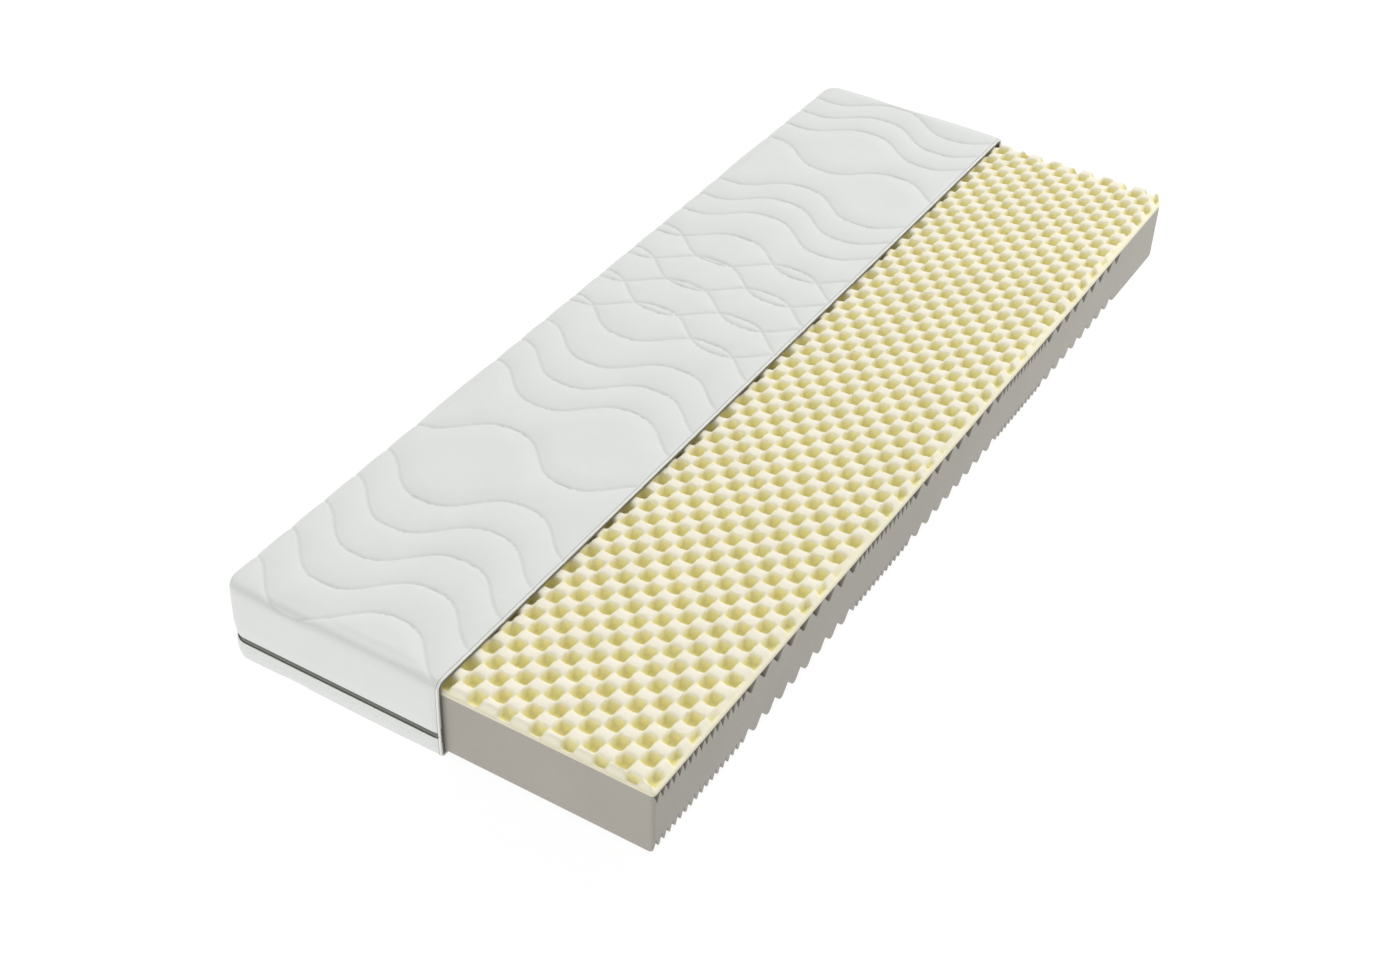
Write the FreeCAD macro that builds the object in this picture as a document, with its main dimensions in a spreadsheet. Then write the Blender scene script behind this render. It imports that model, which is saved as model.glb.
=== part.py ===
import FreeCAD, Part
import Sketcher
import os

# A foam mattress shown half out of its cover: a grey core with zoned grooves, an egg-crate comfort
# layer glued on it, and the left half of a quilted cover that unzips into an upper and a lower part.
# Millimetres. Origin: middle of the foam's footprint, on the resting face. +X to the bare side, +Y to
# the head end, +Z up. The cover's layers are counted by their depth from its outer surface.

doc = FreeCAD.newDocument("mattress")
sheet = doc.addObject("Spreadsheet::Sheet", "Sizes")

sizes = [
    ("foam_width", 800, "core across the bed"),
    ("foam_length", 2000, "core foot to head"),
    ("core_thick", 120, "grey block"),
    ("comfort_thick", 20, "egg-crate layer up to its crests"),
    ("foam_corner", 24, "upright corners of the foam but the bare foot one"),
    ("bare_corner", 6, "upright corner of the foam at the bare foot end"),
    ("foam_edge", 5.5, "rounding of the comfort layer's upper edge"),
    ("bottom_ease", 2.5, "rounding inside the cover's bottom edge"),
    ("face_thick", 1.2, "knitted face fabric"),
    ("wadding_thick", 4.8, "polyester wadding"),
    ("lining_thick", 2.5, "needled backing"),
    ("side_gap", 1.5, "foam to lining at each side"),
    ("rest_gap", 0.5, "foam to lining above and below"),
    ("cover_reach", 17, "how far the cover runs past the middle of the bed"),
    ("cut_overrun", 40, "how far the layer blocks run on past the cut edge"),
    ("binding_thick", 1.5, "tape sewn over the cover's cut edge"),
    ("zip_level", 46, "middle of the zip above the resting face"),
    ("zip_window", 13, "height of the zip band between the cover's parts"),
    ("zip_slit", 1.2, "between the two tapes"),
    ("tape_thick", 0.8, "zip tape"),
    ("tape_flange", 9, "tape sewn behind the face fabric"),
    ("coil_thick", 2.2, "zip coil from the tape inwards"),
    ("coil_height", 2.4, "zip coil up the tape"),
    ("fine_pitch", 15.5, "between grooves of the fine zones"),
    ("fine_mouth", 12.5, "width of a fine groove at the surface"),
    ("fine_depth", 19, "depth of a fine groove"),
    ("foot_count", 17, "fine grooves in the foot zone"),
    ("fine_count", 13, "fine grooves in each other fine zone"),
    ("coarse_pitch", 42, "between grooves of the coarse zones"),
    ("coarse_mouth", 31, "width of a coarse groove at the surface"),
    ("coarse_depth", 21, "depth of a coarse groove"),
    ("foot_margin", 10, "foot end to the first groove"),
    ("zone_gap", 23, "last groove of a zone to the next zone's first"),
    ("head_plain", 235, "least plain length at the head end"),
    ("slider_length", 22, "slider along the zip"),
    ("slider_plate", 1.4, "slider's outer plate"),
    ("slider_play", 0.3, "slider to tape, coil, lining and fabric"),
    ("slider_nose", 5, "how far the slider's pointed ends run"),
    ("bridge_length", 6, "slider's bridge along the zip"),
    ("slider_margin", 60, "slider's end places to the foam's ends"),
    ("pin_radius", 0.6, "pull tab's hinge pin"),
    ("pin_play", 0.05, "pin to the pull tab's eye"),
    ("pin_stand", 1.4, "pin's axis out from the slider's plate"),
    ("eye_radius", 1.1, "outside of the pull tab's eye"),
    ("ear_thick", 1, "each ear that holds the pin"),
    ("tab_length", 26, "pull tab"),
    ("tab_height", 4.4, "pull tab across the zip"),
    ("tab_thick", 1.2, "pull tab"),
    ("stop_length", 3, "each zip stop along the zip"),
    ("stop_play", 1, "slider to each zip stop at its end places"),
]
for row, (alias, value, note) in enumerate(sizes, 1):
    sheet.set(f"A{row}", str(value))
    sheet.set(f"B{row}", note)
    sheet.setAlias(f"A{row}", alias)
doc.recompute()
sizeNames = {alias for alias, value, note in sizes}

# Levels and places that several pieces share, as expressions of the sheet's sizes.
wall = "( face_thick + wadding_thick + lining_thick )"
core_low = f"( {wall} + rest_gap )"
core_high = f"( {core_low} + core_thick )"
total_height = f"( {core_high} + comfort_thick + rest_gap + {wall} )"
outer_x = f"( foam_width / 2 + side_gap + {wall} )"
outer_y = f"( foam_length / 2 + side_gap + {wall} )"
tape_back = "( face_thick + tape_thick )"
coil_back = f"( {tape_back} + coil_thick )"
lining_front = "( face_thick + wadding_thick )"
window_low = "( zip_level - zip_window / 2 )"
window_high = "( zip_level + zip_window / 2 )"
slit_low = "( zip_level - zip_slit / 2 )"
slit_high = "( zip_level + zip_slit / 2 )"
slider_y = "( slider_margin - foam_length / 2 )"


def tie(text):
    """The same expression, with each size pointed at the sheet."""
    return " ".join("Sizes." + word if word in sizeNames else word for word in text.split())


def measure(text):
    return float(sheet.evalExpression(tie(text)))


def place(piece, **axes):
    for axis, text in axes.items():
        piece.setExpression(f"Placement.Base.{axis}", tie(text))


def originFeature(body, role):
    return [feature for feature in body.Origin.OriginFeatures if feature.Role == role][0]


def makeBody(label):
    body = doc.addObject("PartDesign::Body", label)
    body.Label = label
    return body


def makeSketch(body, name, plane, outlines, offset="0"):
    """Closed outlines, each a list of corners given as two expressions in the plane's own axes."""
    sketch = body.newObject("Sketcher::SketchObject", name)
    sketch.AttachmentSupport = [(originFeature(body, plane), "")]
    sketch.MapMode = "FlatFace"
    sketch.setExpression("AttachmentOffset.Base.z", tie(offset))
    for corners in outlines:
        first = sketch.GeometryCount
        ends = [FreeCAD.Vector(measure(u), measure(v), 0) for u, v in corners]
        for index, end in enumerate(ends):
            sketch.addGeometry(Part.LineSegment(end, ends[(index + 1) % len(ends)]))
        for index, (u, v) in enumerate(corners):
            following = first + (index + 1) % len(ends)
            sketch.addConstraint(Sketcher.Constraint("Coincident", first + index, 2, following, 1))
            for kind, text in (("DistanceX", u), ("DistanceY", v)):
                rule = Sketcher.Constraint(kind, -1, 1, first + index, 1, measure(text))
                number = sketch.addConstraint(rule)
                sketch.setExpression(f"Constraints[{number}]", tie(text))
    return sketch


def box(u0, u1, v0, v1):
    return [(u0, v0), (u1, v0), (u1, v1), (u0, v1)]


def addPad(body, name, sketch, length):
    pad = body.newObject("PartDesign::Pad", name)
    pad.Profile = sketch
    pad.setExpression("Length", tie(length))
    body.Tip = pad
    doc.recompute()


def addFillet(body, name, radius, wanted):
    base = body.Tip
    edges = [f"Edge{number}" for number, edge in enumerate(base.Shape.Edges, 1) if wanted(edge)]
    fillet = body.newObject("PartDesign::Fillet", name)
    fillet.Base = (base, edges)
    fillet.setExpression("Radius", tie(radius))
    body.Tip = fillet
    doc.recompute()


def upright(edge):
    return abs(edge.tangentAt(edge.FirstParameter).z) > 0.99


def atHeight(edge, height):
    return edge.BoundBox.ZLength < 0.01 and abs(edge.BoundBox.ZMin - height) < 0.01


def addGrooves(body, name, first, count, pitch, mouth, depth):
    """A zone of V grooves straight across the core, in its top and in its underside."""
    under = [(f"{first} - {mouth} / 2", "0"), (f"{first} + {mouth} / 2", "0"), (first, depth)]
    over = [(u, f"core_thick - {v}") for u, v in under]
    sketch = makeSketch(body, f"{name}_outline", "YZ_Plane", [under, over])
    before = body.Shape.Volume
    pocket = body.newObject("PartDesign::Pocket", name)
    pocket.Profile = sketch
    pocket.Type = "ThroughAll"
    pocket.Midplane = True
    body.Tip = pocket
    doc.recompute()
    pattern = body.newObject("PartDesign::LinearPattern", f"{name}_row")
    pattern.Originals = [pocket]
    pattern.Direction = (originFeature(body, "Y_Axis"), [""])
    pattern.Mode = "Spacing"
    pattern.setExpression("Offset", tie(pitch))
    pattern.setExpression("Occurrences", tie(count))
    body.Tip = pattern
    doc.recompute()
    removed = before - pattern.Shape.Volume
    expected = measure(f"{count} * {mouth} * {depth} * foam_width")
    if abs(removed - expected) > 0.01 * expected:
        raise RuntimeError(f"{name} cut {removed:.0f} mm3 and not {expected:.0f}")


def foamBlock(label, thick, level):
    body = makeBody(label)
    plan = box("0 - foam_width / 2", "foam_width / 2", "0 - foam_length / 2", "foam_length / 2")
    addPad(body, f"{label}_pad", makeSketch(body, f"{label}_plan", "XY_Plane", [plan]), thick)

    def bare(edge):
        return edge.BoundBox.Center.x > 0 and edge.BoundBox.Center.y < 0

    addFillet(body, f"{label}_bare_corner", "bare_corner", lambda edge: upright(edge) and bare(edge))
    sharp = measure("foam_width / 2 - 0.01")

    def stillSharp(edge):
        return upright(edge) and abs(edge.BoundBox.Center.x) > sharp and not bare(edge)

    addFillet(body, f"{label}_corners", "foam_corner", stillSharp)
    place(body, z=level)
    return body


def foamCore():
    core = foamBlock("foam_core", "core_thick", core_low)
    fine = ("fine_pitch", "fine_mouth", "fine_depth")
    coarse = ("coarse_pitch", "coarse_mouth", "coarse_depth")
    footRun = "( ( foot_count - 1 ) * fine_pitch )"
    fineRun = "( ( fine_count - 1 ) * fine_pitch )"
    # The coarse zones share what the margins, the fine zones and the gaps leave of the length.
    spare = f"( foam_length - foot_margin - head_plain - 5 * zone_gap - {footRun} - 2 * {fineRun} )"
    coarseSteps = f"floor( {spare} / ( 3 * coarse_pitch ) )"
    coarseRun = f"( {coarseSteps} * coarse_pitch )"
    zones = [
        ("foot", "foot_count", footRun, fine),
        ("knee", f"{coarseSteps} + 1", coarseRun, coarse),
        ("thigh", "fine_count", fineRun, fine),
        ("seat", f"{coarseSteps} + 1", coarseRun, coarse),
        ("back", "fine_count", fineRun, fine),
        ("shoulder", f"{coarseSteps} + 1", coarseRun, coarse),
    ]
    first = "( foot_margin - foam_length / 2 )"
    for name, count, run, groove in zones:
        addGrooves(core, f"{name}_grooves", first, f"( {count} )", *groove)
        first = f"( {first} + {run} + zone_gap )"
    return core


def comfortLayer():
    layer = foamBlock("comfort_layer", "comfort_thick", core_high)
    top = measure("comfort_thick")
    limit = "min( foam_edge ; 0.95 * bare_corner )"
    addFillet(layer, "comfort_layer_edge", limit, lambda edge: atHeight(edge, top))
    return layer


def coverBlock(depth, name):
    """The covered half of the mattress down to one depth in its cover, running on past the cut."""
    body = makeBody(f"block_{name}")
    plan = box(f"{depth} - {outer_x}", "cover_reach + cut_overrun", f"{depth} - {outer_y}",
               f"{outer_y} - {depth}")
    sketch = makeSketch(body, f"plan_{name}", "XY_Plane", [plan], depth)
    addPad(body, f"pad_{name}", sketch, f"{total_height} - 2 * {depth}")
    farSide = measure("cover_reach + cut_overrun - 0.01")
    low = measure(depth)
    high = measure(f"{total_height} - {depth}")

    def onRim(height):
        return lambda edge: atHeight(edge, height) and edge.BoundBox.XMin < farSide

    addFillet(body, f"corners_{name}", f"foam_corner + side_gap + {wall} - {depth}",
              lambda edge: upright(edge) and edge.BoundBox.XMax < farSide)
    addFillet(body, f"upper_rim_{name}", f"foam_edge + side_gap + {wall} - {depth}", onRim(high))
    addFillet(body, f"lower_rim_{name}", f"bottom_ease + {wall} - {depth}", onRim(low))
    return body


def slab(name, x0, x1, z0, z1):
    piece = doc.addObject("Part::Box", f"slab_{name}")
    piece.setExpression("Length", tie(f"{x1} - {x0}"))
    piece.setExpression("Width", tie(f"2 * {outer_y} + 2"))
    piece.setExpression("Height", tie(f"{z1} - {z0}"))
    place(piece, x=x0, y=f"0 - {outer_y} - 1", z=z0)
    return piece


def coverPiece(label, shell, x0, x1, z0, z1):
    piece = doc.addObject("Part::Common", label)
    piece.Label = label
    piece.Base = shell
    piece.Tool = slab(label, x0, x1, z0, z1)
    return piece


def cover():
    depths = {"face": "0", "tape": "face_thick", "coil": tape_back, "coil_back": coil_back,
              "lining": lining_front, "inside": wall}
    blocks = {name: coverBlock(depth, name) for name, depth in depths.items()}

    def shell(name, outside, inside):
        cut = doc.addObject("Part::Cut", f"shell_{name}")
        cut.Base = blocks[outside]
        cut.Tool = blocks[inside]
        return cut

    face = shell("face", "face", "tape")
    wadding = shell("wadding", "tape", "lining")
    lining = shell("lining", "lining", "inside")
    tape = shell("tape", "tape", "coil")
    coil = shell("coil", "coil", "coil_back")
    bound = shell("bound", "face", "lining")

    left = f"( 0 - {outer_x} - 1 )"
    bottom = "( 0 - 1 )"
    top = f"( {total_height} + 1 )"
    across = (left, "cover_reach")
    edge = ("cover_reach", "( cover_reach + binding_thick )")
    flange_high = f"( {window_high} + tape_flange )"
    flange_low = f"( {window_low} - tape_flange )"
    pieces = []
    for side, window, flange, slit, coilEnd, end in (
            ("upper", window_high, flange_high, slit_high, f"( {slit_high} + coil_height )", top),
            ("lower", window_low, flange_low, slit_low, f"( {slit_low} - coil_height )", bottom)):
        up = side == "upper"
        for part, source, span, start, stop in (
                ("face", face, across, window, end),
                ("wadding", wadding, across, flange, end),
                ("lining", lining, across, slit, end),
                ("zip_tape", tape, across, slit, flange),
                ("zip_coil", coil, across, slit, coilEnd),
                ("cut_binding", bound, edge, slit, end)):
            levels = (start, stop) if up else (stop, start)
            pieces.append(coverPiece(f"{side}_{part}", source, *span, *levels))
    return pieces


def zipSlider():
    """Two plates joined by a thin bridge between the tapes, with two ears for the pull tab's pin."""
    body = makeBody("slider_body")
    half = "( zip_window / 2 - slider_play )"
    long = "( slider_length / 2 )"
    nose = f"( {long} - slider_nose )"
    plate = [(f"0 - {nose}", f"0 - {half}"), (nose, f"0 - {half}"), (long, f"0 - {half} / 2"),
             (long, f"{half} / 2"), (nose, half), (f"0 - {nose}", half),
             (f"0 - {long}", f"{half} / 2"), (f"0 - {long}", f"0 - {half} / 2")]
    front = "( face_thick - slider_play - slider_plate )"
    back = f"( {coil_back} + slider_play )"
    neck = "( zip_slit / 2 - slider_play )"
    bridge = box("0 - bridge_length / 2", "bridge_length / 2", f"0 - {neck}", neck)
    addPad(body, "slider_outer", makeSketch(body, "slider_outer_plan", "YZ_Plane", [plate], front),
           "slider_plate")
    addPad(body, "slider_bridge", makeSketch(body, "slider_bridge_plan", "YZ_Plane", [bridge], front),
           f"{back} - {front}")
    addPad(body, "slider_inner", makeSketch(body, "slider_inner_plan", "YZ_Plane", [plate], back),
           f"{lining_front} - {back} - slider_play")
    earIn = "( tab_height / 2 + slider_play )"
    earOut = f"( {earIn} + ear_thick )"
    ears = [box("0 - eye_radius", "eye_radius", earIn, earOut),
            box("0 - eye_radius", "eye_radius", f"0 - {earOut}", f"0 - {earIn}")]
    reach = "( pin_stand + eye_radius )"
    addPad(body, "slider_ears", makeSketch(body, "slider_ears_plan", "YZ_Plane", ears,
                                           f"{front} - {reach}"), reach)
    place(body, x=f"0 - {outer_x}", y=slider_y, z="zip_level")

    pin = doc.addObject("Part::Cylinder", "slider_pin")
    pin.Label = "slider_pin"
    pin.setExpression("Radius", tie("pin_radius"))
    pin.setExpression("Height", tie(f"2 * {earIn}"))
    pinX = f"{front} - pin_stand - {outer_x}"
    place(pin, x=pinX, y=slider_y, z=f"zip_level - {earIn}")

    eye = doc.addObject("Part::Cylinder", "tab_eye")
    eye.setExpression("Radius", tie("eye_radius"))
    bore = doc.addObject("Part::Cylinder", "tab_bore")
    bore.setExpression("Radius", tie("pin_radius + pin_play"))
    for cylinder in (eye, bore):
        cylinder.setExpression("Height", tie("tab_height"))
        place(cylinder, x=pinX, y=slider_y, z="zip_level - tab_height / 2")
    blade = doc.addObject("Part::Box", "tab_blade")
    blade.setExpression("Length", tie("tab_thick"))
    blade.setExpression("Width", tie("tab_length"))
    blade.setExpression("Height", tie("tab_height"))
    place(blade, x=f"{pinX} - tab_thick / 2", y=slider_y, z="zip_level - tab_height / 2")
    solid = doc.addObject("Part::Fuse", "tab_solid")
    solid.Base = eye
    solid.Tool = blade
    tab = doc.addObject("Part::Cut", "pull_tab")
    tab.Label = "pull_tab"
    tab.Base = solid
    tab.Tool = bore
    return [body, pin, tab]


def zipStops():
    """A clamp on the lower coil at each end of the slider's travel."""
    clamps = []
    reach = "( slider_length / 2 + stop_play )"
    ends = (("foot", f"{slider_y} - {reach} - stop_length"), ("head", f"0 - {slider_y} + {reach}"))
    for name, start in ends:
        clamp = doc.addObject("Part::Box", f"stop_{name}")
        clamp.setExpression("Length", tie(f"{lining_front} - {coil_back} - slider_play"))
        clamp.setExpression("Width", tie("stop_length"))
        clamp.setExpression("Height", tie("coil_height"))
        place(clamp, x=f"{coil_back} - {outer_x}", y=start, z=f"{slit_low} - coil_height")
        clamps.append(clamp)
    group = doc.addObject("Part::Compound", "zip_stops")
    group.Label = "zip_stops"
    group.Links = clamps
    return group


pieces = [foamCore(), comfortLayer()] + cover() + zipSlider() + [zipStops()]
doc.recompute()

for item in doc.Objects:
    if {"Invalid", "Error"} & set(item.State):
        raise RuntimeError(f"{item.Label} is {item.State}")
os.makedirs("parts", exist_ok=True)
for piece in pieces:
    if piece.Shape.isNull() or not piece.Shape.isValid():
        raise RuntimeError(f"{piece.Label} has no valid shape")
for piece in pieces:
    piece.Shape.exportStep(f"parts/{piece.Label}.step")
    print(piece.Label, len(piece.Shape.Solids), "solids", round(piece.Shape.Volume / 1000, 2), "cm3")
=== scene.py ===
import bpy
import math
import numpy as np
from mathutils import Matrix, Vector


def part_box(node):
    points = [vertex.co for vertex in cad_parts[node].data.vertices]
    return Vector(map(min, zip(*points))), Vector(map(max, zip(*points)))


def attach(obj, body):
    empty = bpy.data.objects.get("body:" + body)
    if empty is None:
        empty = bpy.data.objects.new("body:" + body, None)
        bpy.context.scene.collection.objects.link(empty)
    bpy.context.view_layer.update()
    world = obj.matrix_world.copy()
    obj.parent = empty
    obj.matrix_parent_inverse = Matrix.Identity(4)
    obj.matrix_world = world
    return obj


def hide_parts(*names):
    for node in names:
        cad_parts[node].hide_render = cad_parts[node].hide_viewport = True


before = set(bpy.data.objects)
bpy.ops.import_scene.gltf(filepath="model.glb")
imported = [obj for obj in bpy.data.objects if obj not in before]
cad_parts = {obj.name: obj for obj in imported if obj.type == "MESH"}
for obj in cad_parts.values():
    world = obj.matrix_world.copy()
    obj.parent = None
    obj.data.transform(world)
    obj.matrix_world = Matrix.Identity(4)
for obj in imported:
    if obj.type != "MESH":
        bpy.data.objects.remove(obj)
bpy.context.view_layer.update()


def corners(node):
    low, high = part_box(node)
    return np.array(low), np.array(high)


coreLow, coreHigh = corners("foam_core")
crateLow, crateHigh = corners("comfort_layer")
faceLow, faceHigh = corners("upper_face")
underLow = corners("lower_face")[0]
liningHigh = corners("upper_lining")[1]
waddingHigh = corners("upper_wadding")[1]
print("frame read, mattress", [round(float(v), 3) for v in faceHigh - underLow])


# mesh helpers

def smoothStep(low, high, value):
    t = np.clip((value - low) / (high - low), 0, 1)
    return t * t * (3 - 2 * t)


def makePiece(name, places, faces, material, body, sharp=40):
    mesh = bpy.data.meshes.new(name)
    mesh.from_pydata(np.asarray(places, float).reshape(-1, 3).tolist(), [], faces)
    mesh.shade_smooth()
    mesh.set_sharp_from_angle(angle=math.radians(sharp))
    mesh.materials.append(material)
    piece = bpy.data.objects.new(name, mesh)
    bpy.context.scene.collection.objects.link(piece)
    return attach(piece, body)


def gridFaces(rows, columns, start, flip):
    index = start + np.arange(rows * columns).reshape(rows, columns)
    quads = np.stack([index[:-1, :-1], index[:-1, 1:], index[1:, 1:], index[1:, :-1]], -1).reshape(-1, 4)
    return quads[:, ::-1] if flip else quads


def shellFaces(rows, columns, flip=False):  # two grids of one size, outer first, closed round the rim
    count = rows * columns
    index = np.arange(count).reshape(rows, columns)
    rim = np.concatenate([index[0, :-1], index[:-1, -1], index[-1, :0:-1], index[:0:-1, 0]])
    following = np.roll(rim, -1)
    walls = np.stack([following, rim, rim + count, following + count], -1)
    walls = walls[:, ::-1] if flip else walls
    parts = [gridFaces(rows, columns, 0, flip), gridFaces(rows, columns, count, not flip), walls]
    return np.concatenate(parts).tolist()


# materials

def linear(hexText, alpha=1.0):  # sRGB hex to the linear colour that shaders take
    parts = [int(hexText[i:i + 2], 16) / 255 for i in (0, 2, 4)]
    return tuple(c / 12.92 if c <= 0.04045 else ((c + 0.055) / 1.055) ** 2.4 for c in parts) + (alpha,)


def addNode(tree, kind, settings=None, links=None):  # links: input name or number to an output socket
    node = tree.nodes.new("ShaderNode" + kind)
    for key, value in (settings or {}).items():
        if hasattr(node, key):
            setattr(node, key, value)
        else:
            node.inputs[key].default_value = value
    for key, output in (links or {}).items():
        tree.links.new(output, node.inputs[key])
    return node


def newMaterial(name, roughness, specular=0.5, sheen=0.0, metallic=0.0):
    material = bpy.data.materials.new(name)
    material.use_nodes = True
    tree = material.node_tree
    shader = tree.nodes["Principled BSDF"]
    shader.inputs["Roughness"].default_value = roughness
    shader.inputs["Specular IOR Level"].default_value = specular
    shader.inputs["Sheen Weight"].default_value = sheen
    shader.inputs["Sheen Roughness"].default_value = 0.5
    shader.inputs["Metallic"].default_value = metallic
    place = addNode(tree, "TexCoord").outputs["Object"]
    return material, tree, shader, place


def perMetre(millimetres):  # a noise scale whose features repeat about every so many millimetres
    return 1000 / millimetres


def twoTone(tree, shader, place, tones, spacing, detail=3):  # slow colour drift between two hex tones
    noise = addNode(tree, "TexNoise", {"Scale": perMetre(spacing), "Detail": detail}, {"Vector": place})
    mix = addNode(tree, "Mix", {"data_type": "RGBA"}, {"Factor": noise.outputs["Fac"]})
    mix.inputs[6].default_value = linear(tones[0])
    mix.inputs[7].default_value = linear(tones[1])
    tree.links.new(mix.outputs[2], shader.inputs["Base Color"])
    return mix


def addBump(tree, shader, height, strength, depth, earlier=None):
    links = {"Height": height}
    if earlier:
        links["Normal"] = earlier.outputs["Normal"]
    bump = addNode(tree, "Bump", {"Strength": strength, "Distance": depth / 1000}, links)
    tree.links.new(bump.outputs["Normal"], shader.inputs["Normal"])
    return bump


# Polyester double jersey, circular knitted: soft white with a faint sheen, fine wales along the bed and
# a slight pucker. The wales are 1 mm apart on the real one and drawn 3 mm apart so that they show.
def doubleJersey(name, tones, wale=3.0, relief=0.25):
    material, tree, shader, place = newMaterial(name, 0.85, 0.25, 0.25)
    twoTone(tree, shader, place, tones, 90)
    pucker = addNode(tree, "TexNoise", {"Scale": perMetre(14), "Detail": 4}, {"Vector": place})
    soft = addBump(tree, shader, pucker.outputs["Fac"], 0.35, 0.8)
    wales = addNode(tree, "TexWave", {"wave_type": "BANDS", "bands_direction": "X", "Distortion": 1.5,
                                      "Detail": 2, "Detail Scale": 2.0,
                                      "Scale": perMetre(wale) * math.pi / 10}, {"Vector": place})
    addBump(tree, shader, wales.outputs["Fac"], 0.5, relief, soft)
    return material


# Carded polyester fleece or needled felt: matt, fibres in no order, a few of them catching light.
def needledFibre(name, tones, fibre=2.5, relief=0.5):
    material, tree, shader, place = newMaterial(name, 0.95, 0.15, 0.15)
    twoTone(tree, shader, place, tones, 25, 5)
    fibres = addNode(tree, "TexNoise", {"Scale": perMetre(fibre), "Detail": 6, "Distortion": 1.2},
                     {"Vector": place})
    addBump(tree, shader, fibres.outputs["Fac"], 0.6, relief)
    return material


# Woven polyester tape, grosgrain: a dense rib across the tape every 2 mm, slightly shiny threads.
def wovenTape(name, tones, rib=2.0, across="Y"):
    material, tree, shader, place = newMaterial(name, 0.7, 0.3, 0.15)
    twoTone(tree, shader, place, tones, 30)
    ribs = addNode(tree, "TexWave", {"wave_type": "BANDS", "bands_direction": across,
                                     "Scale": perMetre(rib) * math.pi / 10}, {"Vector": place})
    addBump(tree, shader, ribs.outputs["Fac"], 0.5, 0.3)
    return material


# Cold-cure polyurethane foam, cut by a saw: matt and dry, open cells about 1 mm wide drawn at 2.2 mm,
# with slow cloudy drift in the grey.
def coldFoam(name, tones, cell=2.2):
    material, tree, shader, place = newMaterial(name, 0.95, 0.12, 0.1)
    mix = twoTone(tree, shader, place, tones, 160, 4)
    cells = addNode(tree, "TexVoronoi", {"Scale": perMetre(cell)}, {"Vector": place})
    # each cell is painted darker towards its middle, painted shade down in the open pore, multiplied into the
    # grey below
    paintedPoreShade = addNode(tree, "MapRange", {"From Min": 0.0, "From Max": 0.55, "To Min": 0.82, "To Max": 1.04},
                    {"Value": cells.outputs["Distance"]})
    shade = addNode(tree, "Mix", {"data_type": "RGBA", "blend_type": "MULTIPLY"}, {})
    shade.inputs["Factor"].default_value = 0.55
    tree.links.new(mix.outputs[2], shade.inputs[6])
    tree.links.new(paintedPoreShade.outputs[0], shade.inputs[7])
    tree.links.new(shade.outputs[2], shader.inputs["Base Color"])
    addBump(tree, shader, cells.outputs["Distance"], 0.35, 0.5)
    return material


# Visco-elastic foam, convoluted between rollers: cream with a soft skin. Its colour is painted by height:
# nearly white on the crests as a painted highlight, and a deeper yellow down in the pits as painted shade and
# painted bounced light from wall to wall.
def viscoFoam(name, settings):
    material, tree, shader, place = newMaterial(name, 0.9, 0.15, 0.1)
    level = addNode(tree, "Attribute", {"attribute_name": "relief"})
    # the ramp paints shade and light by height: deep yellow painted shade in the pits, near-white painted
    # highlight on the crests
    ramp = addNode(tree, "ValToRGB", None, {"Fac": level.outputs["Fac"]})
    stops = settings["tones"]
    while len(ramp.color_ramp.elements) < len(stops):
        ramp.color_ramp.elements.new(0.5)
    for element, (position, paintedShadeLevel) in zip(ramp.color_ramp.elements, stops):
        element.position = position
        element.color = linear(paintedShadeLevel)
    drift = addNode(tree, "TexNoise", {"Scale": perMetre(60), "Detail": 4}, {"Vector": place})
    pale = addNode(tree, "MapRange", {"From Min": 0.3, "From Max": 0.7, "To Min": 0.95, "To Max": 1.0},
                   {"Value": drift.outputs["Fac"]})
    mix = addNode(tree, "Mix", {"data_type": "RGBA", "blend_type": "MULTIPLY"})
    mix.inputs["Factor"].default_value = 1.0
    tree.links.new(ramp.outputs["Color"], mix.inputs[6])
    tree.links.new(pale.outputs[0], mix.inputs[7])
    side = addNode(tree, "Attribute", {"attribute_name": "cutSide"})
    whole = addNode(tree, "Mix", {"data_type": "RGBA"}, {"Factor": side.outputs["Fac"]})
    whole.inputs[7].default_value = linear(settings["sideTone"])
    tree.links.new(mix.outputs[2], whole.inputs[6])
    tree.links.new(whole.outputs[2], shader.inputs["Base Color"])
    cells = addNode(tree, "TexVoronoi", {"Scale": perMetre(settings["cell"])}, {"Vector": place})
    addBump(tree, shader, cells.outputs["Distance"], 0.25, 0.4)
    return material


# Zinc die casting under a thin grey lacquer: low gloss, small orange-peel, worn pale in spots.
def lacqueredZinc(name, tones):
    material, tree, shader, place = newMaterial(name, 0.38, 0.5)
    twoTone(tree, shader, place, tones, 3, 6)
    peel = addNode(tree, "TexNoise", {"Scale": perMetre(1.2), "Detail": 3}, {"Vector": place})
    addBump(tree, shader, peel.outputs["Fac"], 0.25, 0.05)
    return material


# Extruded nylon monofilament, coiled: dark grey with a satin gloss on each turn, a turn every 1.5 mm.
def nylonCoil(name, tones):
    material, tree, shader, place = newMaterial(name, 0.45, 0.5)
    twoTone(tree, shader, place, tones, 8)
    turns = addNode(tree, "TexWave", {"wave_type": "BANDS", "bands_direction": "Y",
                                      "Scale": perMetre(1.5) * math.pi / 10}, {"Vector": place})
    addBump(tree, shader, turns.outputs["Fac"], 0.9, 0.6)
    return material


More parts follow.
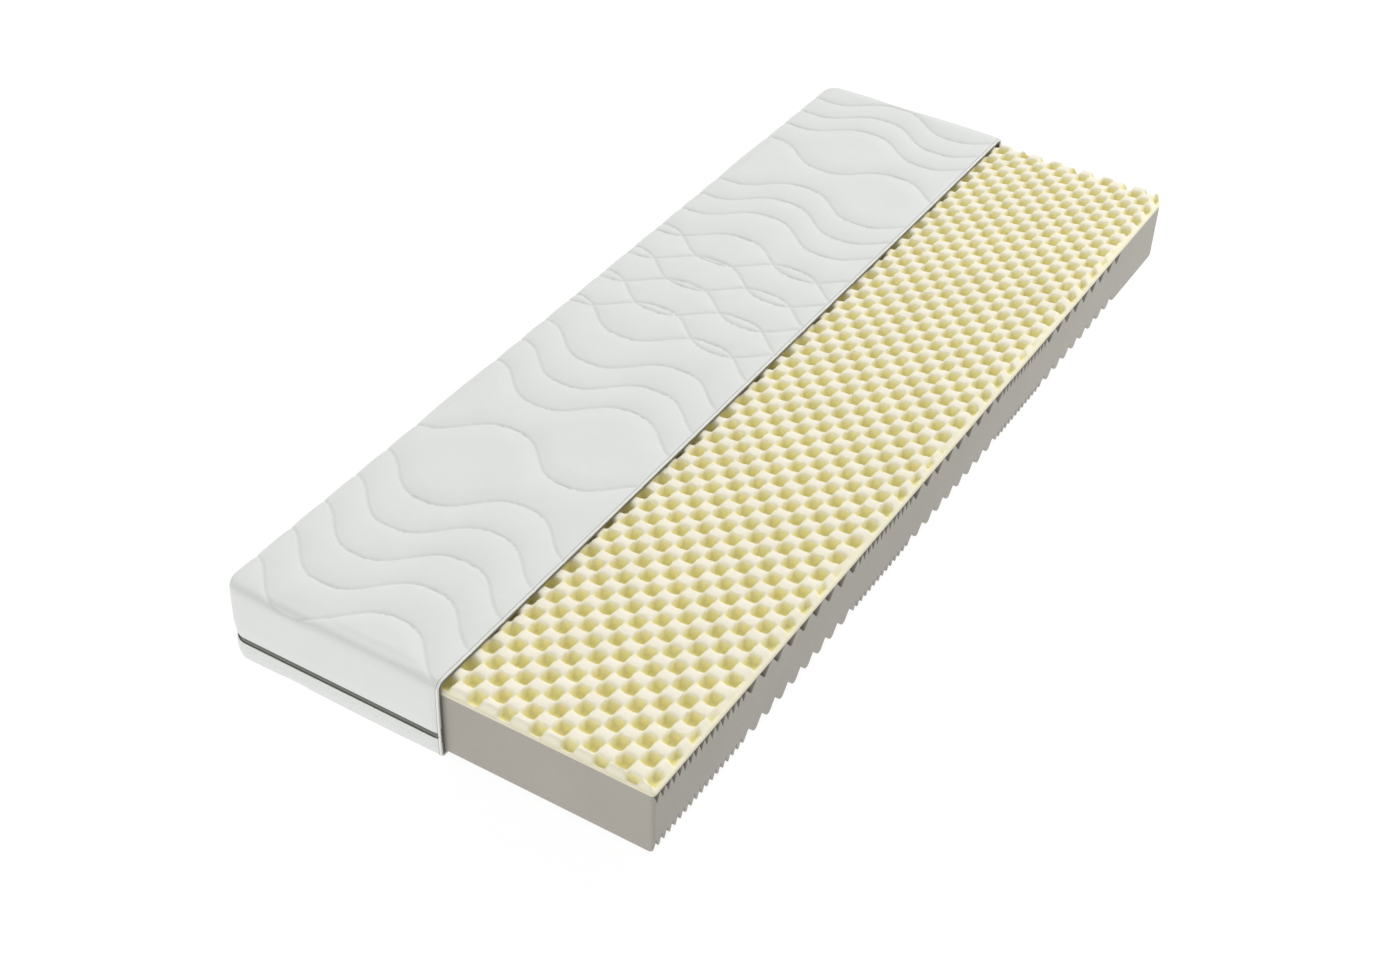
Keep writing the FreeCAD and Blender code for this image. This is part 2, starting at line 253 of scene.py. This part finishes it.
knit = doubleJersey("white_double_jersey", ("E2E4E1", "DBDDDA"))
fleece = needledFibre("white_polyester_fleece", ("F2F2EF", "E7E7E3"))
felt = needledFibre("olive_grey_needled_backing", ("7C7A70", "6C6A60"))
ribbon = wovenTape("white_grosgrain_binding", ("ECECE8", "E2E2DE"))
quiltThread = wovenTape("white_polyester_thread", ("EAEAE6", "DCDCD8"), 1.0)
seamThread = wovenTape("grey_overlock_thread", ("A3A39C", "8D8D86"), 1.5)
zipWeave = wovenTape("dark_grey_zip_tape", ("85877F", "767871"), 1.6)
coilNylon = nylonCoil("grey_nylon_coil", ("6C6D67", "5C5D58"))
zinc = lacqueredZinc("grey_lacquered_zinc", ("6A6A68", "525250"))
greyFoam = coldFoam("grey_cold_cure_foam", ("AFABA3", "A39F97"))
print("materials made")


# the core: its outline is followed from foot to head, with grooves over and under

coreShape = {
    "footRadius": 0.006,            # bare upright corner at the foot
    "radius": 0.024,                # the other upright corners
    "bevel": 0.0012,                # saw-cut long edges, slightly broken
    "step": 0.00125,                # along the bed
    "firstGroove": 0.010,           # from the foot
    "zoneGap": 0.023,
    "fine": (0.0155, 0.0145, 0.0205),    # pitch, mouth, depth
    "coarse": (0.042, 0.034, 0.0225),
    "zones": (("fine", 17), ("coarse", 9), ("fine", 13), ("coarse", 9), ("fine", 13), ("coarse", 9)),
    "soften": {"fine": 0.0006, "coarse": 0.0020},   # how far each kind's tips and roots are rounded
}


def grooveDepth(y):
    depth = np.zeros_like(y)
    start = coreLow[1] + coreShape["firstGroove"]
    for kind, count in coreShape["zones"]:
        pitch, mouth, deep = coreShape[kind]
        soften = coreShape["soften"][kind]
        for number in range(count):
            away = np.abs(y - start - number * pitch)
            slope = 2 * deep / mouth
            line = slope * (mouth / 2 - away)           # a V, its tips and its root eased below
            eased = 0.5 * (line + np.sqrt(line ** 2 + (slope * soften) ** 2))
            eased = deep - 0.5 * ((deep - eased) + np.sqrt((deep - eased) ** 2 + (slope * soften) ** 2))
            depth = np.maximum(depth, np.where(away < mouth / 2 + 3 * soften, eased, 0))
        start += (count - 1) * pitch + coreShape["zoneGap"]
    return np.clip(depth, 0, None)


def cornerInset(y, low, high, lowRadius, highRadius):  # how far a side draws in near the two ends
    inset = np.zeros_like(y)
    for away, radius in ((y - low, lowRadius), (high - y, highRadius)):
        t = np.clip(radius - away, 0, radius)
        inset = np.maximum(inset, radius - np.sqrt(np.maximum(radius ** 2 - t ** 2, 0)))
    return inset


def alongBed(low, high, step, radii):
    steps = [np.arange(low, high, step)]
    for radius in radii:
        bend = radius * (1 - np.cos(np.linspace(0, math.pi / 2, 9)))
        steps += [low + bend, high - bend]
    y = np.unique(np.round(np.concatenate(steps + [[high]]), 5))
    keep = np.concatenate([[True], np.diff(y) > step / 5])
    keep[-1] = True
    return y[keep]


def buildCore():
    shape = coreShape
    y = alongBed(coreLow[1], coreHigh[1], shape["step"], (shape["footRadius"], shape["radius"]))
    right = coreHigh[0] - cornerInset(y, coreLow[1], coreHigh[1], shape["footRadius"], shape["radius"])
    left = coreLow[0] + cornerInset(y, coreLow[1], coreHigh[1], shape["radius"], shape["radius"])
    groove = grooveDepth(y)
    top = coreHigh[2] - groove
    bottom = coreLow[2] + groove
    bevel = shape["bevel"]
    loop = [(left + bevel, bottom), (right - bevel, bottom), (right, bottom + bevel), (right, top - bevel),
            (right - bevel, top), (left + bevel, top), (left, top - bevel), (left, bottom + bevel)]
    places = np.stack([np.stack([x, y, z], -1) for x, z in loop], 1)
    rows, around = places.shape[:2]
    index = np.arange(rows * around).reshape(rows, around)
    following = np.roll(index, -1, 1)
    walls = np.stack([index[:-1], following[:-1], following[1:], index[1:]], -1).reshape(-1, 4)
    faces = walls[:, ::-1].tolist() + [index[0].tolist()[::-1], index[-1].tolist()]
    faces = [face[::-1] for face in faces]
    piece = makePiece("grooved_core", places, faces, greyFoam, "core", 32)
    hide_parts("foam_core")
    return piece


buildCore()
print("core made")


# the egg-crate comfort layer: crests and pits in a staggered lattice, turned slightly from the edges

crate = {
    # the lattice in half pitches: its place at the bed's middle, then its growth per metre across, per
    # metre along, and by the sheet's slight uneven stretch; pits and crests lie at whole numbers
    "across": (-10.53, 38.43, -4.00, 3.58),
    "along": (25.81, -3.54, 40.47, -5.57),
    "crest": 0.0196, "pit": 0.0022,         # above the layer's underside
    "wall": (0.22, 0.58), "peak": 0.2,      # a pit's wall, as shares of the way to a crest; rise left above
    "lip": 0.0070, "lipTone": 0.85,         # height of the flat edge strip, and how pale it is on the ramp of painted shade
    "oval": 0.10,                           # how much longer than wide a pit is, along the bed
    "footRim": (0.001, 0.009), "sideRim": (0.003, 0.013),   # where the lattice starts and is complete
    "cells": 16,                    # mesh cells in a pitch
    "cell": 2.0,                    # mm, foam cells as drawn
    # painted shade and light by height, from the pits (0) to the crests (1): deep yellow painted shade and
    # bounced light in the pits, near-white painted highlight on the crests
    "tones": ((0.0, "EBE29E"), (0.55, "EFE7AE"), (0.78, "F4EED0"), (1.0, "F7F2E0")),
    "sideTone": "DAD5BC",           # the cut side faces, duller than the moulded top
}
creamFoam = viscoFoam("cream_visco_foam_painted_pit_shade", crate)


def crateRelief(x, y, edge):  # 0 in a pit, 1 on a crest, and steady along the edges
    half = [c[0] + c[1] * x + c[2] * y + c[3] * x * y for c in (crate["across"], crate["along"])]
    u, v = math.pi * half[0], math.pi * half[1]
    wave = crate["oval"] * (np.cos(2 * v) - np.cos(2 * u)) - np.cos(u) * np.cos(v)
    rise = (1 + wave) / 2
    relief = (1 - crate["peak"]) * smoothStep(*crate["wall"], rise) + crate["peak"] * rise
    inside = (smoothStep(*crate["sideRim"], crateHigh[0] - x) * smoothStep(*crate["footRim"], y - crateLow[1])
              * smoothStep(*crate["sideRim"], x - crateLow[0]))
    return edge + inside * (relief - edge)


def buildCrate():
    step = 2 / crate["across"][1] / crate["cells"]
    y = alongBed(crateLow[1], crateHigh[1], step, (coreShape["radius"],))
    right = crateHigh[0] - cornerInset(y, crateLow[1], crateHigh[1], coreShape["footRadius"],
                                       coreShape["radius"])
    left = crateLow[0] + cornerInset(y, crateLow[1], crateHigh[1], coreShape["radius"], coreShape["radius"])
    columns = int((crateHigh[0] - crateLow[0]) / step) + 1
    share = np.linspace(0, 1, columns)
    x = left[:, None] + (right - left)[:, None] * share
    yy = np.broadcast_to(y[:, None], x.shape)
    rise = crate["crest"] - crate["pit"]
    top = crateLow[2] + crate["pit"] + rise * crateRelief(x, yy, (crate["lip"] - crate["pit"]) / rise)
    edge = np.minimum(np.minimum(x - left[:, None], right[:, None] - x), yy - crateLow[1])
    top = top - 0.0018 * (1 - smoothStep(0, 0.003, edge))       # the lip is slightly rounded
    under = np.full_like(top, crateLow[2])
    places = np.concatenate([np.stack([x, yy, z], -1).reshape(-1, 3) for z in (top, under)])
    piece = makePiece("egg_crate_layer", places, shellFaces(len(y), columns), creamFoam, "core", 50)
    onSide = (edge < 0.0005).astype(float) * 0.5
    # the relief attribute is painted shade by height: the material's ramp darkens and yellows the pits and
    # paints the crests and the lip pale
    paintedShadeLevel = crateRelief(x, yy, crate["lipTone"])
    values = {"relief": np.concatenate([paintedShadeLevel.ravel(), np.full(paintedShadeLevel.size, 0.7)]),
              "cutSide": np.concatenate([onSide.ravel(), np.ones(paintedShadeLevel.size)])}
    for key, value in values.items():
        piece.data.attributes.new(key, "FLOAT", "POINT").data.foreach_set("value", value)
    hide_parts("comfort_layer")
    return piece


buildCrate()
print("egg-crate layer made")


# the quilted cover: each layer is a sheet over the top, round the rim and down the borders

cover = {
    "corner": 0.034, "rim": 0.0155, "lowerRim": 0.006,      # outer radii in plan and over the edges
    "step": 0.0024,                 # final mesh
    "simStep": 0.010,               # mesh for the simulation
    "puff": 0.0052,                 # pillows stand this proud of the stitch lines
    "pressure": 4.0, "cap": 0.012, "frames": 20,
    "crease": 0.0022, "dent": 0.0022,       # half width and depth of a stitched crease
    "swell": 0.012,                 # how soon a pillow reaches its height
    "border": 0.0042,               # how far the borders stand proud
    "pinch": 0.0022, "pinchReach": 0.010,   # how much the cut edge's seam thins the fleece, and how far in
    # every quilting line is one wave across the bed: its value at the foot, then its change per metre
    "waveLength": (0.322, -0.012), "waveHeight": (0.043, -0.006), "waveCrest": (-0.119, 0.017),
    "counterShift": 0.013,          # the second family stands half a wave out, and this much more
    "flank": 0.07,                  # how much steeper than a sine a wave's flanks are
    # runs of lines: family, first line's distance from the foot of the foam, pitch, count
    "lines": ((1, 0.032, 0.0836, 5), (-1, 0.529, 0, 1), (1, 0.688, 0.0788, 3), (1, 0.950, 0.1035, 4),
              (-1, 1.000, 0.1007, 5), (-1, 1.4735, 0.0725, 2), (1, 1.693, 0, 1), (-1, 1.827, 0.0685, 3)),
}


def quiltLines():
    for side, first, pitch, count in cover["lines"]:
        for number in range(count):
            yield side, first + number * pitch


def quiltWave(side, line, x):  # where a line runs at x, and how steeply
    length, height, crest = (cover[key][0] + line * cover[key][1]
                             for key in ("waveLength", "waveHeight", "waveCrest"))
    crest += cover["counterShift"] if side < 0 else 0
    flank = cover["flank"]
    angle = 2 * math.pi * (x - crest) / length
    height *= side / (1 - flank)
    place = coreLow[1] + line + height * (np.cos(angle) - flank * np.cos(3 * angle))
    return place, height * 2 * math.pi / length * (3 * flank * np.sin(3 * angle) - np.sin(angle))


def stitchDistance(x, y):  # to the nearest quilting line
    best = np.full(x.shape, 1.0)
    for side, line in quiltLines():
        place, slope = quiltWave(side, line, x)
        best = np.minimum(best, np.abs(y - place) / np.sqrt(1 + slope ** 2))
    return best


def spread(low, high, step):
    return np.linspace(low, high, int(round((high - low) / step)) + 1)


class Sheet:  # a flat pattern of one cover half, folded round the rim and down the borders
    def __init__(self, step, upper, end):
        self.upper = upper
        self.rim = cover["rim"] if upper else cover["lowerRim"]
        self.flat = cover["corner"] - self.rim
        self.bend = self.flat + self.rim * math.pi / 2
        self.level = faceHigh[2] if upper else underLow[2]
        self.side = 1 if upper else -1
        self.reach = abs(end - self.level)      # down the border to the zip
        self.inner = np.array([faceLow[0] + cover["corner"], faceLow[1] + cover["corner"],
                               faceHigh[1] - cover["corner"]])
        self.step = step

    def pattern(self, right):  # the pattern's own x and y, out to the zip
        reach = self.bend + self.reach - self.rim
        x = np.concatenate([-spread(0, reach, self.step)[:0:-1] + self.inner[0],
                            spread(self.inner[0], right, self.step)])
        y = np.concatenate([-spread(0, reach, self.step)[:0:-1] + self.inner[1],
                            spread(self.inner[1], self.inner[2], self.step),
                            spread(0, reach, self.step)[1:] + self.inner[2]])
        return np.meshgrid(x, y)

    def fold(self, x, y, depth, lift=0.0):
        a = np.clip(self.inner[0] - x, 0, None)
        below = np.clip(self.inner[1] - y, 0, None)
        above = np.clip(y - self.inner[2], 0, None)
        b = below + above
        ring = np.maximum(a, b)
        small = np.minimum(a, b) / np.maximum(ring, 1e-9)
        angle = np.where(a >= b, math.pi / 4 * small, math.pi / 2 - math.pi / 4 * small)
        angle = np.where(ring == 0, 0, angle)
        turn = np.clip((ring - self.flat) / self.rim, 0, math.pi / 2)
        depth = depth - lift
        radius = np.maximum(self.rim - depth, 0.0005)
        out = np.minimum(ring, self.flat) + (self.rim - depth - radius) * (ring > self.flat)
        out = np.maximum(out + radius * np.sin(turn), 0)
        drop = depth + radius * (1 - np.cos(turn)) + np.clip(ring - self.bend, 0, None)
        drop = np.minimum(drop, self.reach)
        drop = drop if self.upper else np.maximum(drop, 0)      # the resting face stays flat
        headward = np.where(above > 0, 1.0, -1.0)
        px = np.maximum(x, self.inner[0]) - out * np.cos(angle) * (a > 0)
        py = np.clip(y, self.inner[1], self.inner[2]) + headward * out * np.sin(angle) * (b > 0)
        return np.stack([px, py, self.level - self.side * drop], -1)

    def ring(self, x, y):
        return np.maximum(np.clip(self.inner[0] - x, 0, None),
                          np.clip(self.inner[1] - y, 0, None) + np.clip(y - self.inner[2], 0, None))


def simulatePillows(sheet, x, y, distance, share):
    # The face fabric is held along its stitch lines and borders, and blown up from the wadding's side.
    rows, columns = x.shape
    rest = sheet.fold(x, y, 0.0)
    mesh = bpy.data.meshes.new("pillow_trial")
    mesh.from_pydata(rest.reshape(-1, 3).tolist(), [], gridFaces(rows, columns, 0, False).tolist())
    trial = bpy.data.objects.new("pillow_trial", mesh)
    bpy.context.scene.collection.objects.link(trial)
    held = (distance < 0.55 * cover["simStep"]) | (share < 0.05)
    held[0], held[-1], held[:, 0], held[:, -1] = True, True, True, True
    pins = trial.vertex_groups.new(name="held")
    pins.add(np.flatnonzero(held.ravel()).tolist(), 1.0, "REPLACE")
    cloth = trial.modifiers.new("pillow", "CLOTH")
    cloth.settings.quality = 5
    cloth.settings.mass = 0.15
    cloth.settings.tension_stiffness = 12
    cloth.settings.compression_stiffness = 12
    cloth.settings.bending_stiffness = 0.3
    cloth.settings.use_pressure = True
    cloth.settings.uniform_pressure_force = cover["pressure"]
    cloth.settings.vertex_group_mass = "held"
    cloth.settings.effector_weights.gravity = 0
    cloth.collision_settings.use_collision = False
    cloth.point_cache.frame_end = cover["frames"]
    scene = bpy.context.scene
    for number in range(1, cover["frames"] + 1):
        scene.frame_set(number)
    blown = np.zeros(rows * columns * 3, np.float32)
    trial.evaluated_get(bpy.context.evaluated_depsgraph_get()).data.vertices.foreach_get("co", blown)
    outward = (sheet.fold(x, y, 0.0, 0.001) - rest) / 0.001
    lift = np.abs(((blown.reshape(rest.shape) - rest) * outward).sum(-1))
    bpy.data.objects.remove(trial)
    bpy.data.meshes.remove(mesh)
    scene.frame_set(1)
    return np.clip(lift, 0, cover["cap"])


def blowPillows():  # once, on a coarse sheet; the heights come back as shares of a usual pillow's
    sheet = Sheet(cover["simStep"], True, faceLow[2])
    x, y = sheet.pattern(faceHigh[0])
    share = topShare(sheet, x, y)
    lift = simulatePillows(sheet, x, y, stitchDistance(x, y), share)
    usual = float(np.percentile(lift[share > 0.9], 85))
    print("pillows blown up, usual height", round(usual * 1000, 2), "mm before it is scaled")
    return x[0], y[:, 0], lift / max(usual, 1e-6)


def topShare(sheet, x, y):  # 1 on top, falling to 0 over the rim
    return 1 - smoothStep(sheet.flat - 0.012, sheet.bend + 0.030, sheet.ring(x, y))


def sheetLift(sheet, x, y):
    distance = stitchDistance(x, y)
    share = topShare(sheet, x, y)
    pillow = 1 - np.exp(-distance / cover["swell"])
    if blownPillows:
        pillow = 0.5 * pillow + 0.5 * np.clip(bilinear(*blownPillows, x, y), 0, 1.2)
    dent = cover["dent"] * np.exp(-(distance / cover["crease"]) ** 2)
    pillow = cover["puff"] * pillow if sheet.upper else 0.5 * cover["puff"] * (pillow - 1)
    toZip = sheet.reach - sheet.rim - (sheet.ring(x, y) - sheet.bend)
    border = cover["border"] * (0.5 + 0.5 * smoothStep(0, 0.022, toZip))
    atCut = 0.3 + 0.7 * smoothStep(0, 0.014, faceHigh[0] - x)
    return (border * (1 - share) + share * (pillow - dent)) * atCut


def bilinear(us, vs, values, x, y):
    i = np.clip(np.searchsorted(us, x) - 1, 0, len(us) - 2)
    j = np.clip(np.searchsorted(vs, y) - 1, 0, len(vs) - 2)
    s = np.clip((x - us[i]) / (us[i + 1] - us[i]), 0, 1)
    t = np.clip((y - vs[j]) / (vs[j + 1] - vs[j]), 0, 1)
    return ((1 - s) * (1 - t) * values[j, i] + s * (1 - t) * values[j, i + 1]
            + (1 - s) * t * values[j + 1, i] + s * t * values[j + 1, i + 1])


blownPillows = blowPillows()


def coverLayer(name, node, material, upper, depths, end, follow, step, pinched):
    sheet = Sheet(step, upper, end)
    x, y = sheet.pattern(faceHigh[0])
    lift = sheetLift(sheet, x, y)
    pinch = cover["pinch"] * (1 - smoothStep(0, cover["pinchReach"], faceHigh[0] - x))
    outer = sheet.fold(x, y, depths[0] - pinch * pinched[0], lift * follow[0])
    inner = sheet.fold(x, y, depths[1] - pinch * pinched[1], lift * follow[1])
    places = np.concatenate([outer.reshape(-1, 3), inner.reshape(-1, 3)])
    body = "upper_cover" if upper else "lower_cover"
    piece = makePiece(name, places, shellFaces(*x.shape, flip=not upper), material, body, 55)
    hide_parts(node)
    return piece


depthOf = {"face": (0.0, float(faceHigh[2] - waddingHigh[2])),
           "wadding": (float(faceHigh[2] - waddingHigh[2]), float(faceHigh[2] - liningHigh[2])),
           "lining": (float(faceHigh[2] - liningHigh[2]), float(faceHigh[2] - crateHigh[2] - 0.0005))}
for half, upper in (("upper", True), ("lower", False)):
    ends = {layer: (corners(half + "_" + layer)[0 if upper else 1])[2] for layer in depthOf}
    coverLayer("quilted_" + half + "_face", half + "_face", knit, upper, depthOf["face"],
               ends["face"], (1, 1), cover["step"], (0, 0))
    coverLayer(half + "_fleece", half + "_wadding", fleece, upper, depthOf["wadding"],
               ends["wadding"], (1, 0), 2 * cover["step"], (0, 1))
    coverLayer(half + "_backing", half + "_lining", felt, upper, depthOf["lining"],
               ends["lining"], (0, 0), 2 * cover["step"], (1, 0))
    print(half, "cover made")


# the quilting thread, one short stitch after another down in the creases

stitch = {"length": 0.0034, "pitch": 0.0039, "radius": 0.00026, "proud": 0.0001}


def stitchEnds(sheet):  # the pattern places where each stitch starts and stops
    starts, stops = [], []
    x = np.arange(sheet.inner[0] - sheet.bend, faceHigh[0] - 0.004, 0.0005)
    for side, line in quiltLines():
        y = quiltWave(side, line, x)[0]
        run = np.concatenate([[0], np.cumsum(np.hypot(np.diff(x), np.diff(y)))])
        for kept, offset in ((starts, 0), (stops, stitch["length"])):
            at = np.arange(0, run[-1] - stitch["length"], stitch["pitch"]) + offset
            kept.append(np.stack([np.interp(at, run, x), np.interp(at, run, y)], -1))
    return np.concatenate(starts), np.concatenate(stops)


def sewQuilting(name, upper, end):
    sheet = Sheet(cover["step"], upper, end)
    starts, stops = stitchEnds(sheet)
    shown = topShare(sheet, starts[:, 0], starts[:, 1]) > 0.25
    tips = []
    for place in (starts[shown], stops[shown]):
        x, y = place[:, 0], place[:, 1]
        tips.append(sheet.fold(x, y, 0.0, sheetLift(sheet, x, y) + stitch["proud"]))
    along = tips[1] - tips[0]
    along /= np.linalg.norm(along, axis=1)[:, None]
    out = sheet.fold(x, y, 0.0) - sheet.fold(x, y, 0.001)
    out /= np.linalg.norm(out, axis=1)[:, None]
    across = np.cross(along, out)
    turns = np.linspace(0, 2 * math.pi, 7)[:-1]
    rings = [tip[:, None] + stitch["radius"] * (np.cos(turns)[:, None] * across[:, None]
                                                + np.sin(turns)[:, None] * out[:, None]) for tip in tips]
    places = np.concatenate(rings, 1)
    first = 12 * np.arange(len(places))[:, None]
    faces = [(first + [k, (k + 1) % 6, (k + 1) % 6 + 6, k + 6]).tolist() for k in range(6)]
    faces += [(first + [5, 4, 3, 2, 1, 0]).tolist(), (first + [6, 7, 8, 9, 10, 11]).tolist()]
    body = "upper_cover" if upper else "lower_cover"
    piece = makePiece(name, places, [face for group in faces for face in group], quiltThread, body, 60)


for half, upper in (("upper", True), ("lower", False)):
    sewQuilting(half + "_quilting_stitches", upper, corners(half + "_face")[0 if upper else 1][2])
print("quilting sewn")


# the cut edge: a folded ribbon over the face and the wadding, overlocked with grey thread

edging = {
    # across the ribbon, mm: outward past the cut, and down from the face
    "ribbon": ((-2.8, 0.3), (-2.8, -0.4), (-0.8, -0.8), (0.4, -0.7), (1.1, -0.2), (1.4, 0.5), (1.4, 1.3),
               (1.2, 2.1), (0.7, 2.7), (0.0, 2.9)),
    "threadPlace": (-3.2, -0.2),
    "threadRadius": 0.55,
    "step": 0.004,
}


def sweepAlongCut(name, upper, end, profile, material):
    sheet = Sheet(edging["step"], upper, end)
    cut = waddingHigh[0]
    y = sheet.pattern(faceHigh[0])[1][:, 0]
    lift = sheetLift(sheet, np.full((len(y), 1), cut), y[:, None])[:, 0]
    rings = [sheet.fold(np.full(len(y), cut + out / 1000), y, down / 1000, lift) for out, down in profile]
    places = np.stack(rings, 1)
    rows, around = places.shape[:2]
    index = np.arange(rows * around).reshape(rows, around)
    following = np.roll(index, -1, 1)
    walls = np.stack([index[:-1], following[:-1], following[1:], index[1:]], -1).reshape(-1, 4)
    faces = walls.tolist() + [index[0].tolist()[::-1], index[-1].tolist()]
    faces = faces if upper else [face[::-1] for face in faces]
    return makePiece(name, places, faces, material, "upper_cover" if upper else "lower_cover", 50)


for half, upper in (("upper", True), ("lower", False)):
    end = corners(half + "_cut_binding")[0 if upper else 1][2]
    band = sweepAlongCut(half + "_binding_ribbon", upper, end, edging["ribbon"], ribbon)
    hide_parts(half + "_cut_binding")
    turns = np.linspace(0, 2 * math.pi, 9)[:-1]
    middle = edging["threadPlace"]
    radius = edging["threadRadius"]
    thread = [(middle[0] + radius * math.cos(t), middle[1] - radius * math.sin(t)) for t in turns]
    sweepAlongCut(half + "_overlock_thread", upper, end, thread, seamThread)
print("cut edge bound")


# the zip: its metal and nylon pieces keep their own shapes

for half in ("upper", "lower"):
    for piece, finish in (("_zip_tape", zipWeave), ("_zip_coil", coilNylon)):
        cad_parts[half + piece].data.materials[0] = finish
for name in ("slider_body", "slider_pin", "pull_tab", "zip_stops"):
    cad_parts[name].data.materials[0] = zinc
print("zip finished")

# camera, floor and lights

cameraView = {"place": (1.4416, -2.7046, 2.3365), "azimuth": 30.046, "elevation": 38.913, "roll": 2.312,
              "lens": 52.21}


def addCamera():
    a, e, r = (math.radians(cameraView[key]) for key in ("azimuth", "elevation", "roll"))
    back = Vector((math.sin(a) * math.cos(e), -math.cos(a) * math.cos(e), math.sin(e)))
    right = Vector((math.cos(a), math.sin(a), 0))
    up = back.cross(right)
    across = right * math.cos(r) + up * math.sin(r)
    upright = up * math.cos(r) - right * math.sin(r)
    camera = bpy.data.objects.new("view_camera", bpy.data.cameras.new("view_camera"))
    camera.data.lens = cameraView["lens"]
    camera.data.clip_start = 0.05
    turned = Matrix((across, upright, back)).transposed().to_4x4()
    camera.matrix_world = Matrix.Translation(cameraView["place"]) @ turned
    bpy.context.scene.collection.objects.link(camera)
    bpy.context.scene.camera = camera


def addFloor():
    floor = bpy.data.meshes.new("studio_floor")
    reach = 12
    floor.from_pydata([(-reach, -reach, 0), (reach, -reach, 0), (reach, reach, 0), (-reach, reach, 0)], [],
                      [(0, 1, 2, 3)])
    material, tree, shader, place = newMaterial("white_studio_floor", 0.9, 0.1)
    twoTone(tree, shader, place, ("707070", "6D6D6D"), 900)
    shader.inputs["Emission Color"].default_value = (1, 1, 1, 1)
    shader.inputs["Emission Strength"].default_value = floorGlow
    floor.materials.append(material)
    stage = bpy.data.objects.new("studio_floor", floor)
    stage.location.z = underLow[2] - 0.0005
    bpy.context.scene.collection.objects.link(stage)


lamps = {   # where each stands, its apparent width in degrees and its strength
    "key": ((0.12, 1.0, 0.9), 24, 1.85),    # beyond the head, to the right and high
    "fill": ((-0.35, -1.0, 0.5), 60, 0.78),
    "top": ((-0.2, -0.6, 1.0), 50, 0.34),   # softens the turn from the top to the foot border
}
sideLamp = {"place": (1.8, 2.1, 0.6), "size": 1.0, "watts": 11}
skyStrength = 0.43
floorGlow = 0.9                     # the floor is a lit studio sweep, which leaves only faint shadows


def aimAtBed(lamp, place):
    lamp.location = place
    lamp.rotation_euler = (Vector((0, 0.1, 0.1)) - lamp.location).to_track_quat("-Z", "Y").to_euler()
    bpy.context.scene.collection.objects.link(lamp)


def addLamps():
    for name, (place, width, strength) in lamps.items():
        lamp = bpy.data.objects.new(name, bpy.data.lights.new(name, "SUN"))
        lamp.data.angle = math.radians(width)
        lamp.data.energy = strength
        aimAtBed(lamp, place)
    lamp = bpy.data.objects.new("side", bpy.data.lights.new("side", "AREA"))
    lamp.data.size = sideLamp["size"]
    lamp.data.energy = sideLamp["watts"]
    aimAtBed(lamp, sideLamp["place"])
    world = bpy.data.worlds.new("studio_world")
    world.use_nodes = True
    world.node_tree.nodes["Background"].inputs["Color"].default_value = (1, 1, 1, 1)
    world.node_tree.nodes["Background"].inputs["Strength"].default_value = skyStrength
    bpy.context.scene.world = world
    bpy.context.scene.view_settings.view_transform = "Standard"


addCamera()
addFloor()
addLamps()
print("camera, floor and lamps set")
